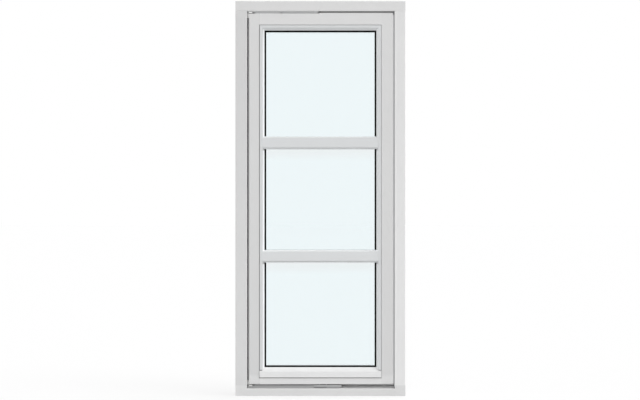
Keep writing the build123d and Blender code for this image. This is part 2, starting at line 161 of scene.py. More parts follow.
def addRange(tree, noise, limits):  # spreads a noise between two limits
    return addMap(tree, noise, *noiseSpan, *limits)


def newFinish(name):
    made = bpy.data.materials.new(name)
    made.use_nodes = True
    return made, made.node_tree, made.node_tree.nodes["Principled BSDF"]


# Light: an even pale room, wide soft lamps from above, from both sides and from behind, and one by the camera
light = {
    "roomStrength": 0.64,
    "backdropStrength": 1.0,  # white
    "suns": [  # name, direction towards the lamp, strength, spread in degrees
        ("overheadLamp", (0.5, -0.1, 0.86), 1.6, 45),
        ("rightLamp", (0.95, -0.25, 0.2), 0.74, 40),
        ("leftLamp", (-0.95, -0.25, 0.2), 0.43, 40),
        ("roomLamp", (0.3, 0.9, 0.4), 0.8, 45),  # for the room side
    ],
    "sunDistance": 4.0,
    "fillPlace": (0.0, -6.0, 0.7),  # it reaches into the narrow gaps round the sash
    "fillAim": (0.0, 0.0, 0.8),
    "fillRadius": 0.25,
    "fillCone": 20,  # degrees, so that it lights the window and hardly any floor
    "fillBlend": 0.1,
    "fillPower": 280,
}


def showBackdrop(tree, lighting, backdrop, output):  # camera, glossy and transmission rays see the backdrop
    path = tree.nodes.new("ShaderNodeLightPath")
    either = addMath(tree, "MAXIMUM", path.outputs["Is Camera Ray"], path.outputs["Is Glossy Ray"])
    mix = tree.nodes.new("ShaderNodeMixShader")
    tree.links.new(addMath(tree, "MAXIMUM", either, path.outputs["Is Transmission Ray"]), mix.inputs["Fac"])
    tree.links.new(lighting, mix.inputs[1])
    tree.links.new(backdrop, mix.inputs[2])
    tree.links.new(mix.outputs["Shader"], output.inputs["Surface"])


def addBackground(tree, strength):
    made = tree.nodes.new("ShaderNodeBackground")
    made.inputs["Color"].default_value = (1, 1, 1, 1)
    made.inputs["Strength"].default_value = strength
    return made.outputs["Background"]


def makeWorld():
    world = bpy.data.worlds.new("paleRoom")
    scene.world = world
    world.use_nodes = True
    tree = world.node_tree
    tree.nodes.clear()
    output = tree.nodes.new("ShaderNodeOutputWorld")
    room = addBackground(tree, light["roomStrength"])
    showBackdrop(tree, room, addBackground(tree, light["backdropStrength"]), output)


def aim(lamp, direction):
    lamp.rotation_euler = direction.to_track_quat("-Z", "Y").to_euler()


def addSun(name, towards, strength, spread):
    bpy.ops.object.light_add(type="SUN", location=Vector(towards) * light["sunDistance"])
    lamp = bpy.context.object
    lamp.name = name
    lamp.data.energy = strength
    lamp.data.angle = math.radians(spread)
    aim(lamp, -Vector(towards))


def addFill():
    place = Vector(light["fillPlace"])
    bpy.ops.object.light_add(type="SPOT", location=place)
    lamp = bpy.context.object
    lamp.name = "fillLamp"
    lamp.data.shadow_soft_size = light["fillRadius"]
    lamp.data.spot_size = math.radians(light["fillCone"])
    lamp.data.spot_blend = light["fillBlend"]
    lamp.data.energy = light["fillPower"]
    aim(lamp, Vector(light["fillAim"]) - place)
    lamp.visible_glossy = False  # the panes don't mirror it
    lamp.visible_transmission = False


floor = {
    "size": 80.0,
    "drop": 0.0005,
    "colour": (0.53, 0.53, 0.53, 1),
    "roughness": 0.9,
    "seenColour": (0.79, 0.79, 0.79, 1),
    "shadow": 0.25,  # how much of the object's shadow shows on the white
}


def makeFloor():
    bpy.ops.object.select_all(action="DESELECT")
    bpy.ops.mesh.primitive_plane_add(size=floor["size"], location=(0, 0, cadBox[0].z - floor["drop"]))
    made = bpy.context.object
    made.name = "floor"
    matt, tree, surface = newFinish("paleFloor")
    surface.inputs["Base Color"].default_value = floor["colour"]
    surface.inputs["Roughness"].default_value = floor["roughness"]
    surface.inputs["Specular IOR Level"].default_value = 0.0
    shaded = tree.nodes.new("ShaderNodeBsdfDiffuse")
    shaded.inputs["Color"].default_value = floor["seenColour"]
    glow = tree.nodes.new("ShaderNodeEmission")
    glow.inputs["Strength"].default_value = light["backdropStrength"]
    soft = tree.nodes.new("ShaderNodeMixShader")
    soft.inputs["Fac"].default_value = floor["shadow"]
    tree.links.new(glow.outputs["Emission"], soft.inputs[1])
    tree.links.new(shaded.outputs["BSDF"], soft.inputs[2])
    showBackdrop(tree, surface.outputs["BSDF"], soft.outputs["Shader"], tree.nodes["Material Output"])
    made.data.materials.append(matt)


makeWorld()
for name, towards, strength, spread in light["suns"]:
    addSun(name, towards, strength, spread)
addFill()
makeFloor()
print("room and lamps made")


bars = {  # glazing bars, with a narrow bevel above their face and a wider one below it
    "foot": 0.5331,  # of the lower bar
    "spacing": 0.4555,
    "height": 0.0500,
    "topBevel": 0.0049,
    "footBevel": 0.0073,
    "arris": 0.0005,
    "outerBevelDepth": 0.0090,
    "gasketSight": {"outer": 0.0070, "inner": 0.0030},  # how much of the gasket shows beside the bead
}
barFeet = {"lower": bars["foot"], "upper": bars["foot"] + bars["spacing"]}

# Places where a finish differs, most of them painted light or shade: middle, half size, fade as a share of
# the half size
places = {
    "none": ((0, 0, -1), (0.1, 0.1, 0.1), 0.01),
    # painted light: the frame's faces inside the gap round the sash, lighter as if light reached into it
    "rebate": ((0.0024, -0.0161, 0.79), (0.300, 0.0339, 0.755), 0.002),
    # painted highlight along the right jamb's inner arris
    "rightArris": ((0.3004, -0.0538, 0.79), (0.0022, 0.0040, 0.755), 0.2),
    "jambTop": ((-0.31, 0, 1.55), (0.05, 0.1, 0.020), 1.0),
    # painted highlight along the head's lower arris
    "headArris": ((0, -0.0555, 1.5405), (0.4, 0.0026, 0.0021), 0.2),
    # painted light: the sash's faces in the gap round it, lighter
    "gapFaces": ((0, -0.0194, 0.79), (0.4, 0.0306, 0.8), 0.002),
    # painted light: the stiles lighter near their foot, beside the bottom rail
    "stileFoot": ((0, 0, 0.03), (0.4, 0.1, 0.045), 0.3),
    # painted shade in the groove between the left stile and its bead
    "leftGroove": ((-0.2447, -0.0520, 0.79), (0.0012, 0.0024, 0.8), 0.05),
    # painted shadow on the bottom rail, under the bottom bead's proud lip
    "lowGroove": ((0, -0.0520, 0.0719), (0.4, 0.0024, 0.0011), 0.05),
    # painted shadow along the bottom bead's drip edge
    "dripEdge": ((0, -0.0450, 0.0728), (0.4, 0.0300, 0.0012), 0.1),
    # painted light: the beads' bevels beside the glass, lighter
    "bevels": ((0, -0.0400, 0.79), (0.4, 0.0130, 0.8), 0.002),
    # painted shade in the narrow gap at the side beads' feet
    "beadFeet": ((0, -0.0450, 0.1010), (0.4, 0.0200, 0.0026), 0.2),
    # painted highlight on the left bead's bevel
    "leftBevel": ((0, -0.0385, 0.79), (0.4, 0.0100, 0.8), 0.002),
}
barPlace = {
    "halfWidth": 0.4,
    "underDepth": -0.0300,  # painted shadow on the beads, just under the bars' ends
    "underHalfDepth": 0.0118,
    "underRise": 0.0004,
    "underReach": 0.0040,
    "underFade": 1.0,
    "bevelDepth": -0.0395,  # painted light on the bars' bevels, behind their faces
    "bevelHalfDepth": 0.0125,
    "bevelReach": 0.0285,
    "bevelFade": 0.002,
}


def addBarPlaces(level, foot):  # painted shadow under a bar's ends, and painted light on its bevels above and below its middle
    halfWidth, reach = barPlace["halfWidth"], barPlace["bevelReach"]
    places["under%sBar" % level.capitalize()] = (
        (0, barPlace["underDepth"], foot + barPlace["underRise"]),
        (halfWidth, barPlace["underHalfDepth"], barPlace["underReach"]),
        barPlace["underFade"],
    )
    middle = foot + bars["height"] / 2
    for end, height in (("Top", middle + reach), ("Foot", middle - reach)):
        places[level + "Bar" + end] = (
            (0, barPlace["bevelDepth"], height),
            (halfWidth, barPlace["bevelHalfDepth"], reach),
            barPlace["bevelFade"],
        )


for level, foot in barFeet.items():
    addBarPlaces(level, foot)


# Node groups that the finishes share: each takes a colour, and gives a colour, a roughness and a height
def newGroup(name, numbers, vectors):
    group = bpy.data.node_groups.new(name, "ShaderNodeTree")
    takes = [("Colour", "NodeSocketColor")]
    takes += [(label, "NodeSocketFloat") for label in numbers]
    takes += [(label, "NodeSocketVector") for label in vectors]
    gives = [("Colour", "NodeSocketColor"), ("Roughness", "NodeSocketFloat"), ("Height", "NodeSocketFloat")]
    for way, sockets in (("INPUT", takes), ("OUTPUT", gives)):
        for label, kind in sockets:
            group.interface.new_socket(name=label, in_out=way, socket_type=kind)
    return group, group.nodes.new("NodeGroupInput").outputs


def closeGroup(group, colour, roughness, height):
    given = group.nodes.new("NodeGroupOutput").inputs
    group.links.new(colour, given["Colour"])
    group.links.new(roughness, given["Roughness"])
    group.links.new(height, given["Height"])
    return group


def addPlace(tree, here, taken, which):  # the tone inside a place, and 1 outside it
    away = addVector(tree, "SUBTRACT", here, taken[which + " Middle"])
    share = addVector(tree, "ABSOLUTE", addVector(tree, "DIVIDE", away, taken[which + " Half"]))
    end = addMath(tree, "ADD", taken[which + " Fade"], 1.0)
    return addMap(tree, addMost(tree, share), 1.0, end, taken[which + " Tone"], 1.0)


paint = {
    "colour": (0.656, 0.656, 0.656),
    "coolColour": (0.643, 0.657, 0.664),  # painted light: beads and bars stand beside the glass and take on a little of its cool light
    "strokes": {"upright": (700, 700, 28), "level": (28, 700, 700)},  # to the metre along X, Y and Z
    "strokeDetail": 3.0,
    "strokeTones": (0.988, 1.012),
    "strokeHeight": 0.0003,
    "strokeStrength": 0.35,
    "patchScale": 7.0,
    "patchDetail": 2.0,
    "patchTones": (0.99, 1.01),
    "roughness": (0.40, 0.50),
    "across": {"upright": (1, 1, 0), "level": (0, 1, 1)},  # directions in which a member has edges
    "edgeWidth": 0.004,  # how far the lighter edges reach, wear with a painted highlight
    "edgeScale": 90.0,
    "edgeDetail": 2.0,
    "edgeShares": (0.7, 1.0),
}
ordinals = ("First", "Second", "Third", "Fourth")


def addWornAndHighlitEdges(tree, here, taken):  # 1 on the member's long edges, uneven, and 0 a little way from them: wear with a painted highlight
    fromLow = addVector(tree, "SUBTRACT", here, taken["Low Corner"])
    fromHigh = addVector(tree, "SUBTRACT", taken["High Corner"], here)
    nearest = addVector(tree, "MINIMUM", fromLow, fromHigh)
    away = addMost(tree, addVector(tree, "MULTIPLY", nearest, taken["Across"]))
    edge = addMap(tree, away, 0.0, paint["edgeWidth"], 1.0, 0.0)
    uneven = addNoise(tree, here, paint["edgeScale"], paint["edgeDetail"])
    return addProduct(tree, edge, addRange(tree, uneven, paint["edgeShares"]))


# Brush strokes along a member, faint patches, tones changing along and across it that are painted light and
# shade, edges lighter from wear and a painted highlight, and places that differ, most of them painted light
# or shade
def makePaintGroup():
    numbers = ["Foot", "Top", "Left", "Right", "Edges"]
    vectors = ["Grain", "Low Corner", "High Corner", "Across"]
    for which in ordinals:
        numbers += [which + " Fade", which + " Tone"]
        vectors += [which + " Middle", which + " Half"]
    group, taken = newGroup("brushedPaint", numbers, vectors)
    here = addHere(group)
    grain = addVector(group, "MULTIPLY", here, taken["Grain"])
    strokes = addNoise(group, grain, 1.0, paint["strokeDetail"])
    patches = addNoise(group, here, paint["patchScale"], paint["patchDetail"])
    at, low, high = (addApart(group, corner) for corner in (here, taken["Low Corner"], taken["High Corner"]))
    # painted light and shade: tones from foot to top and from left to right, the lighter edges and the places
    tone = addProduct(
        group,
        addMap(group, at["Z"], low["Z"], high["Z"], taken["Foot"], taken["Top"]),
        addMap(group, at["X"], low["X"], high["X"], taken["Left"], taken["Right"]),
        addRange(group, patches, paint["patchTones"]),
        addRange(group, strokes, paint["strokeTones"]),
        addMath(group, "ADD", addProduct(group, addWornAndHighlitEdges(group, here, taken), taken["Edges"]), 1.0),
        *[addPlace(group, here, taken, which) for which in ordinals],
    )
    colour = addVector(group, "SCALE", taken["Colour"], tone)
    return closeGroup(group, colour, addRange(group, patches, paint["roughness"]), strokes)


metal = {
    "cloudScale": 3.0,
    "cloudDetail": 1.0,
    "cloudTones": (0.93, 1.05),
    "lineDetail": 2.0,
    "lineTones": (0.95, 1.04),
    "roughness": (0.38, 0.55),
}


def makeMetalGroup():  # crystals of a zinc or anodised coat, with fine drawing lines along the piece
    group, taken = newGroup("coatedMetal", ["Crystal"], ["Lines"])
    here = addHere(group)
    cells = group.nodes.new("ShaderNodeTexVoronoi")
    group.links.new(here, cells.inputs["Vector"])
    group.links.new(taken["Crystal"], cells.inputs["Scale"])
    cloud = addNoise(group, cells.outputs["Color"], metal["cloudScale"], metal["cloudDetail"])
    lines = addNoise(group, addVector(group, "MULTIPLY", here, taken["Lines"]), 1.0, metal["lineDetail"])
    cloudTone = addRange(group, cloud, metal["cloudTones"])
    tone = addProduct(group, cloudTone, addRange(group, lines, metal["lineTones"]))
    colour = addVector(group, "SCALE", taken["Colour"], tone)
    return closeGroup(group, colour, addRange(group, cloud, metal["roughness"]), lines)


skin = {
    "grainDetail": 2.0,
    "grainTones": (0.97, 1.03),
    "cloudScale": 25.0,
    "cloudDetail": 2.0,
    "cloudTones": (0.985, 1.015),
}


def makeSkinGroup():  # fine skin of a moulded, extruded or sprayed surface, and one place that differs
    group, taken = newGroup(
        "mouldedSkin",
        ["Grain", "Smooth", "Rough", "First Fade", "First Tone"],
        ["First Middle", "First Half"],
    )
    here = addHere(group)
    grain = addNoise(group, here, taken["Grain"], skin["grainDetail"])
    cloud = addNoise(group, here, skin["cloudScale"], skin["cloudDetail"])
    tone = addProduct(
        group,
        addRange(group, grain, skin["grainTones"]),
        addRange(group, cloud, skin["cloudTones"]),
        addPlace(group, here, taken, "First"),
    )
    colour = addVector(group, "SCALE", taken["Colour"], tone)
    return closeGroup(group, colour, addRange(group, cloud, (taken["Smooth"], taken["Rough"])), grain)


brushedPaint = makePaintGroup()
coatedMetal = makeMetalGroup()
mouldedSkin = makeSkinGroup()
print("finish groups made")


# Finishes
finishes = {}


def wear(finish, worn):
    for name in worn:
        slots = nodes[name].data.materials
        slots.clear()
        slots.append(finish)


def makeFinish(name, group, values, worn, bump, bumpStrength=0.3, metallic=0.0, specular=0.5):
    made, tree, surface = newFinish(name)
    surface.inputs["Metallic"].default_value = metallic
    surface.inputs["Specular IOR Level"].default_value = specular
    coat = tree.nodes.new("ShaderNodeGroup")
    coat.node_tree = group
    for label, value in values.items():
        coat.inputs[label].default_value = (*value, 1) if label == "Colour" else value
    relief = tree.nodes.new("ShaderNodeBump")
    relief.inputs["Distance"].default_value = bump
    relief.inputs["Strength"].default_value = bumpStrength
    tree.links.new(coat.outputs["Colour"], surface.inputs["Base Color"])
    tree.links.new(coat.outputs["Roughness"], surface.inputs["Roughness"])
    tree.links.new(coat.outputs["Height"], relief.inputs["Height"])
    tree.links.new(relief.outputs["Normal"], surface.inputs["Normal"])
    finishes[name] = made
    wear(made, worn)


def placeValues(which, where, tone):
    middle, half, fade = places[where]
    return {which + " Middle": middle, which + " Half": half, which + " Fade": fade, which + " Tone": tone}


def ownValues(settings, *labels):
    return {label.capitalize(): settings[label] for label in labels}


plainMember = {  # tones at its four sides, which are painted light and shade, lighter edges from wear and a painted highlight, and up to four places that differ
    "foot": 1.0, "top": 1.0, "left": 1.0, "right": 1.0, "edges": 0.0, "colour": "colour",
    **{which.lower(): ("none", 1.0) for which in ordinals},
}
members = {  # each finish has only what differs from the plain member
    "leftJambPaint": {
        "nodes": ["frame_left_jamb"], "run": "upright",
        "foot": 1.030, "top": 0.935, "left": 0.993, "right": 1.014,
        "first": ("rebate", 1.32), "second": ("jambTop", 1.03),
    },
    "rightJambPaint": {
        "nodes": ["frame_right_jamb"], "run": "upright",
        "foot": 1.157, "top": 1.082, "left": 0.984, "right": 1.007,
        "first": ("rebate", 1.20), "second": ("rightArris", 1.15),
    },
    "headPaint": {
        "nodes": ["frame_head"], "run": "level", "left": 1.012, "right": 1.048,
        "first": ("rebate", 1.35), "second": ("headArris", 1.10),
    },
    "sillPaint": {
        "nodes": ["frame_sill"], "run": "level", "left": 1.097, "right": 1.052,
        "first": ("rebate", 1.30),
    },
    "leftStilePaint": {
        "nodes": ["sash_left_stile"], "run": "upright", "foot": 0.977, "top": 1.008, "edges": 0.25,
        "first": ("leftGroove", 0.4), "second": ("stileFoot", 1.105),
    },
    "rightStilePaint": {
        "nodes": ["sash_right_stile"], "run": "upright", "foot": 0.966, "top": 1.012, "edges": 0.15,
        "first": ("gapFaces", 1.30), "second": ("stileFoot", 1.075),
    },
    "topRailPaint": {
        "nodes": ["sash_top_rail"], "run": "level", "foot": 1.035, "top": 1.035, "edges": 0.15,
        "first": ("gapFaces", 1.30),
    },
    "bottomRailPaint": {
        "nodes": ["sash_bottom_rail"], "run": "level", "left": 1.147, "right": 1.094, "edges": 0.15,
        "first": ("lowGroove", 0.45),
    },
    "leftBeadPaint": {
        "nodes": ["bead_left"], "run": "upright", "colour": "coolColour",
        "first": ("leftBevel", 1.46), "second": ("beadFeet", 0.35),
        "third": ("underLowerBar", 0.15), "fourth": ("underUpperBar", 0.15),
    },
    "rightBeadPaint": {
        "nodes": ["bead_right"], "run": "upright", "colour": "coolColour", "foot": 0.985, "top": 0.985,
        "first": ("bevels", 1.18), "second": ("beadFeet", 0.35),
        "third": ("underLowerBar", 0.3), "fourth": ("underUpperBar", 0.3),
    },
    "topBeadPaint": {
        "nodes": ["bead_top"], "run": "level", "colour": "coolColour",
        "first": ("bevels", 1.02),
    },
    "lowerBarPaint": {
        "nodes": ["outer_bar_lower"], "run": "level", "colour": "coolColour", "foot": 1.036, "top": 1.036,
        "first": ("lowerBarTop", 1.32), "second": ("lowerBarFoot", 1.05),
    },
    "upperBarPaint": {
        "nodes": ["outer_bar_upper"], "run": "level", "colour": "coolColour", "foot": 1.024, "top": 1.024,
        "first": ("upperBarTop", 1.22), "second": ("upperBarFoot", 1.15),
    },
    "innerBarPaint": {
        "nodes": ["inner_bar_lower", "inner_bar_upper"], "run": "level",
    },
}


def paintMember(name, member):
    corners = [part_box(node) for node in member["nodes"]]
    values = {
        "Colour": paint[member["colour"]],
        "Grain": paint["strokes"][member["run"]],
        "Across": paint["across"][member["run"]],
        "Low Corner": [min(low[axis] for low, high in corners) for axis in range(3)],
        "High Corner": [max(high[axis] for low, high in corners) for axis in range(3)],
        **ownValues(member, "foot", "top", "left", "right", "edges"),
    }
    for which in ordinals:
        values.update(placeValues(which, *member[which.lower()]))
    makeFinish(name, brushedPaint, values, member["nodes"], paint["strokeHeight"], paint["strokeStrength"])


for name, own in members.items():
    paintMember(name, {**plainMember, **own})

plainSkin = {  # grain to the metre, roughness where it is smoothest and roughest, and a place that differs
    "grain": 900, "smooth": 0.40, "rough": 0.50, "bump": 0.00005, "specular": 0.5,
    "differs": ("none", 1.0), "nodes": [],
}
skins = {
    "coatedAluminium": {
        "colour": (0.778, 0.780, 0.782), "smooth": 0.30, "rough": 0.40, "bump": 0.00010,
        # painted shadow along the drip edge
        "differs": ("dripEdge", 0.5), "nodes": ["bead_bottom"],
    },
    "blackRubber": {
        "colour": (0.004, 0.004, 0.004), "grain": 1500, "smooth": 0.60, "rough": 0.80, "bump": 0.00010,
        "specular": 0.04, "nodes": ["outer_gasket", "inner_gasket"],
    },
    "greyRubber": {
        "colour": (0.30, 0.30, 0.30), "grain": 1500, "smooth": 0.55, "rough": 0.75, "bump": 0.00010,
        "specular": 0.3, "nodes": ["weather_strip"],
    },
    "sealRubber": {
        "colour": (0.31, 0.31, 0.31), "grain": 1500, "smooth": 0.55, "rough": 0.75, "bump": 0.00010,
        "specular": 0.3,
    },
    "blockPlastic": {
        "colour": (0.03, 0.03, 0.03), "grain": 800, "smooth": 0.45, "rough": 0.60, "specular": 0.4,
        "nodes": ["setting_blocks"],
    },
    "cavityBarSkin": {
        "colour": (0.60, 0.61, 0.61), "rough": 0.55, "bump": 0.00003, "specular": 0.4,
        "nodes": ["cavity_bar_lower", "cavity_bar_upper"],
    },
    "spacerSkin": {
        "colour": (0.60, 0.61, 0.61), "rough": 0.55, "bump": 0.00003, "specular": 0.4,
        "nodes": ["glass_spacer"],
    },
    "shoeNylon": {"colour": (0.88, 0.88, 0.86), "nodes": ["head_shoe", "sill_shoe"]},
    "capNylon": {"colour": (0.95, 0.95, 0.94)},
    # painted shade: the sill's shoe cap is the same nylon as the head's, made darker for the shade of the
    # sill gap
    "sillShadedNylon": {"colour": (0.67, 0.67, 0.66), "smooth": 0.45, "rough": 0.55, "specular": 0.4},
    "handleLacquer": {
        "colour": (0.70, 0.705, 0.71), "grain": 600, "smooth": 0.25, "rough": 0.36,
        "nodes": ["handle_plate", "handle_lever"],
    },
}
for name, own in skins.items():
    own = {**plainSkin, **own}
    values = {**ownValues(own, "colour", "grain", "smooth", "rough"), **placeValues("First", *own["differs"])}
    makeFinish(name, mouldedSkin, values, own["nodes"], own["bump"], specular=own["specular"])

plainMetal = {  # crystals and drawing lines to the metre
    "crystal": 350, "lines": (40, 900, 900), "bump": 0.00004, "nodes": [],
}
metals = {
    "headZinc": {"colour": (0.62, 0.625, 0.63), "nodes": ["head_arm", "head_plate", "head_anchor"]},
    # painted shade: the sill's arm, plate and anchor are the head's zinc, made darker for the shade of the
    # sill gap
    "sillShadedZinc": {"colour": (0.285, 0.287, 0.290), "nodes": ["sill_arm", "sill_plate"]},
    "sillAnchorShadedZinc": {"colour": (0.40, 0.403, 0.406), "nodes": ["sill_anchor"]},
    "coverZinc": {"colour": (0.415, 0.419, 0.422)},
    "lockSteel": {"colour": (0.62, 0.625, 0.63), "lines": (900, 900, 40), "nodes": ["lock_rod"]},
    "keepSteel": {"colour": (0.60, 0.605, 0.61), "lines": (900, 900, 40), "nodes": ["lock_keeps"]},
    "headTrack": {
        "colour": (0.58, 0.585, 0.59), "crystal": 900, "lines": (30, 1200, 1200), "bump": 0.00003,
        "nodes": ["head_track"],
    },
    "sillShadedTrack": {  # painted shade: darker than the one at the head, for the shade of the sill gap
        "colour": (0.38, 0.382, 0.385), "crystal": 900, "lines": (30, 1200, 1200), "bump": 0.00003,
        "nodes": ["sill_track"],
    },
    "sleeveSteel": {"colour": (0.55, 0.54, 0.50), "crystal": 500, "lines": (60, 900, 900)},
}
for name, own in metals.items():
    own = {**plainMetal, **own}
    values = ownValues(own, "colour", "crystal", "lines")
    makeFinish(name, coatedMetal, values, own["nodes"], own["bump"], metallic=1.0)


def addTone(finish, tone):  # scales the colour that a finish has
    tree = finish.node_tree
    base = tree.nodes["Principled BSDF"].inputs["Base Color"]
    tree.links.new(addVector(tree, "SCALE", base.links[0].from_socket, tone), base)


spacer = {
    "middle": -0.0225,  # depth of the row of breathing holes
    "pitch": 0.006,
    "hole": 0.0008,
    "clearShare": 0.7,  # of the hole's radius, before its edge fades
    "holeTone": 0.12,
}


def pierceSpacer(finish):  # a row of fine breathing holes towards the cavity
    tree = finish.node_tree
    here = addApart(tree, addHere(tree))
    along = addMath(tree, "PINGPONG", addMath(tree, "ADD", here["X"], here["Z"]), spacer["pitch"] / 2)
    off = addMath(tree, "SUBTRACT", here["Y"], spacer["middle"])
    away = addMath(tree, "ADD", addProduct(tree, along, along), addProduct(tree, off, off))
    clear = (spacer["clearShare"] * spacer["hole"]) ** 2
    addTone(finish, addMap(tree, away, clear, spacer["hole"] ** 2, spacer["holeTone"], 1.0))


slope = {"foot": 0.0945, "top": 0.1110, "edge": 0.0005, "footTone": 0.91, "topTone": 1.055}


def shadeSlope(finish):  # painted light: the bottom bead is paler towards the top of its slope, and plain on its front
    tree = finish.node_tree
    height = addApart(tree, addHere(tree))["Z"]
    onSlope = addMap(tree, height, slope["foot"], slope["top"], slope["footTone"], slope["topTone"])
    onFront = addMap(tree, height, slope["foot"] - slope["edge"], slope["foot"], 1.0, 0.0)
    addTone(finish, addMath(tree, "MAXIMUM", onSlope, onFront))


pierceSpacer(finishes["spacerSkin"])
shadeSlope(finishes["coatedAluminium"])

glass = {
    "tint": (0.922, 0.962, 0.971, 1),
    # painted shade on the panes below each bar
    "barShadeTint": (0.909, 0.929, 0.933, 1),
    "barShadeReach": 0.050,  # below each bar
    "clearHeight": 0.3,  # no painted shade higher than this above the upper bar's foot
    "ior": 1.5,
    "haze": 0.012,
    "hazeScale": 6.0,
    "hazeDetail": 3.0,
}


def makeGlass():  # clear, with a faint uneven haze and painted shade below each bar
    made, tree, surface = newFinish("clearGlass")
    surface.inputs["IOR"].default_value = glass["ior"]
    surface.inputs["Transmission Weight"].default_value = 1.0
    here = addHere(tree)
    haze = addNoise(tree, here, glass["hazeScale"], glass["hazeDetail"])
    tree.links.new(addRange(tree, haze, (0.0, glass["haze"])), surface.inputs["Roughness"])
    highest = barFeet["upper"] + glass["clearHeight"]
    height = addMath(tree, "MINIMUM", addApart(tree, here)["Z"], highest)
    below = addMath(tree, "SUBTRACT", barFeet["upper"], height)
    below = addMath(tree, "FLOORED_MODULO", below, bars["spacing"])
    tint = tree.nodes.new("ShaderNodeMix")
    tint.data_type = "RGBA"
    tree.links.new(addMap(tree, below, 0.0, glass["barShadeReach"], 0.0, 1.0), tint.inputs["Factor"])
    tint.inputs["A"].default_value = glass["barShadeTint"]
    tint.inputs["B"].default_value = glass["tint"]
    tree.links.new(tint.outputs["Result"], surface.inputs["Base Color"])
    wear(made, ["outer_pane", "inner_pane"])


makeGlass()
print("finishes worn")


# Fine pieces, each with its place in its mesh
squarely = 0.9  # for a face that looks straight along an axis
smoothAngle = math.radians(35)
roundSides = 32
roundSteps = 2


def facing(axis, sign):
    return lambda found: getattr(found.normal, axis) * sign > squarely


def selectFaces(piece, wanted):
    bpy.ops.object.mode_set(mode="EDIT")
    bpy.ops.mesh.select_mode(type="FACE")
    bpy.ops.mesh.select_all(action="DESELECT")
    bpy.ops.object.mode_set(mode="OBJECT")
    for face in piece.data.polygons:
        face.select = wanted(face)
    bpy.ops.object.mode_set(mode="EDIT")


def selectOnly(piece):
    bpy.ops.object.select_all(action="DESELECT")
    bpy.context.view_layer.objects.active = piece
    piece.select_set(True)


def keepPlace():
    bpy.ops.object.transform_apply(location=True, rotation=True, scale=True)
    return bpy.context.object


def newBlock(columns, depths, rows):  # between limits along X, Y and Z
    limits = (columns, depths, rows)
    bpy.ops.object.select_all(action="DESELECT")
    bpy.ops.mesh.primitive_cube_add(size=1, location=[sum(pair) / 2 for pair in limits])
    bpy.context.object.scale = [end - start for start, end in limits]
    return keepPlace()


def newRound(radius, length, middle, turn):  # turned from upright
    bpy.ops.object.select_all(action="DESELECT")
    bpy.ops.mesh.primitive_cylinder_add(
        vertices=roundSides, radius=radius, depth=length, location=middle, rotation=turn
    )
    return keepPlace()


def extrudeBy(*shift):
    bpy.ops.mesh.extrude_region_move(TRANSFORM_OT_translate={"value": shift})


def roundSelected(offset, steps=roundSteps):
    bpy.ops.mesh.bevel(offset=offset, segments=steps, affect="EDGES")


def roundAll(offset):
    bpy.ops.mesh.select_all(action="SELECT")
    roundSelected(offset)


def join(piece, name):
    piece.name = name
    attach(piece, "root")


def settle(piece, name, finish):
    bpy.ops.object.mode_set(mode="OBJECT")
    bpy.ops.object.shade_smooth_by_angle(angle=smoothAngle)
    flatter = piece.modifiers.new("flatFaces", "WEIGHTED_NORMAL")  # only the rounded edges look round
    flatter.keep_sharp = True
    bpy.ops.object.modifier_apply(modifier=flatter.name)
    piece.data.materials.clear()
    piece.data.materials.append(finishes[finish])
    join(piece, name)


def copyTo(piece, rise, name):
    selectOnly(piece)
    bpy.ops.object.duplicate(linked=False)
    bpy.ops.transform.translate(value=(0, 0, rise))
    made = keepPlace()
    join(made, name)
    return made


sleeve = {  # steel sleeves with a stepped bore, in the jambs' fixing holes
    "radius": 0.0068,
    "length": 0.036,
    "setBack": 0.0008,
    "wall": 0.0015,
    "boreDepth": 0.016,
    "step": 0.0011,
    "stepDepth": 0.008,
    "rim": 0.0004,
    "depth": 0.0045,
    "lowest": 0.1895,
    "spacing": 0.4,
    "count": 4,
}


def makeSleeves(sideName, side):  # side is -1 for the left jamb and 1 for the right
    face = cadBox[0].x if side < 0 else cadBox[1].x
    end = face - side * sleeve["setBack"]
    middle = (end - side * sleeve["length"] / 2, sleeve["depth"], sleeve["lowest"])
    piece = newRound(sleeve["radius"], sleeve["length"], middle, (0, math.radians(90), 0))
    outwards = facing("x", side)
    selectFaces(piece, outwards)
    roundSelected(sleeve["rim"])
    selectFaces(piece, lambda found: outwards(found) and len(found.vertices) == roundSides)
    bpy.ops.mesh.inset(thickness=sleeve["wall"])
    extrudeBy(-side * sleeve["boreDepth"], 0, 0)
    bpy.ops.mesh.inset(thickness=sleeve["step"])
    extrudeBy(-side * sleeve["stepDepth"], 0, 0)
    settle(piece, sideName + "Sleeve.1", "sleeveSteel")
    for place in range(1, sleeve["count"]):
        copyTo(piece, place * sleeve["spacing"], "%sSleeve.%d" % (sideName, place + 1))


makeSleeves("left", -1)
makeSleeves("right", 1)
print("fixing sleeves made")

screw = {  # two pan heads on the handle's plate
    "radius": 0.0034,
    "height": 0.0011,
    "round": 0.0007,
    "roundSteps": 4,
    "crossWidth": 0.0009,
    "crossLength": 0.0040,
    "crossDepth": 0.0007,
    "column": 0.2505,
    "plateFace": 0.0205,
    "middle": 0.7895,
    "offset": 0.026,
}


def cutSlot(piece, face, width, length):  # one slot of the cross
    row = screw["middle"] - screw["offset"]
    cutter = newBlock(
        (screw["column"] - width / 2, screw["column"] + width / 2),
        (face - screw["crossDepth"], face + screw["crossDepth"]),
        (row - length / 2, row + length / 2),
    )
    selectOnly(piece)
    cut = piece.modifiers.new("cross", "BOOLEAN")
    cut.operation = "DIFFERENCE"
    cut.object = cutter
    bpy.ops.object.modifier_apply(modifier=cut.name)
    bpy.data.objects.remove(cutter)


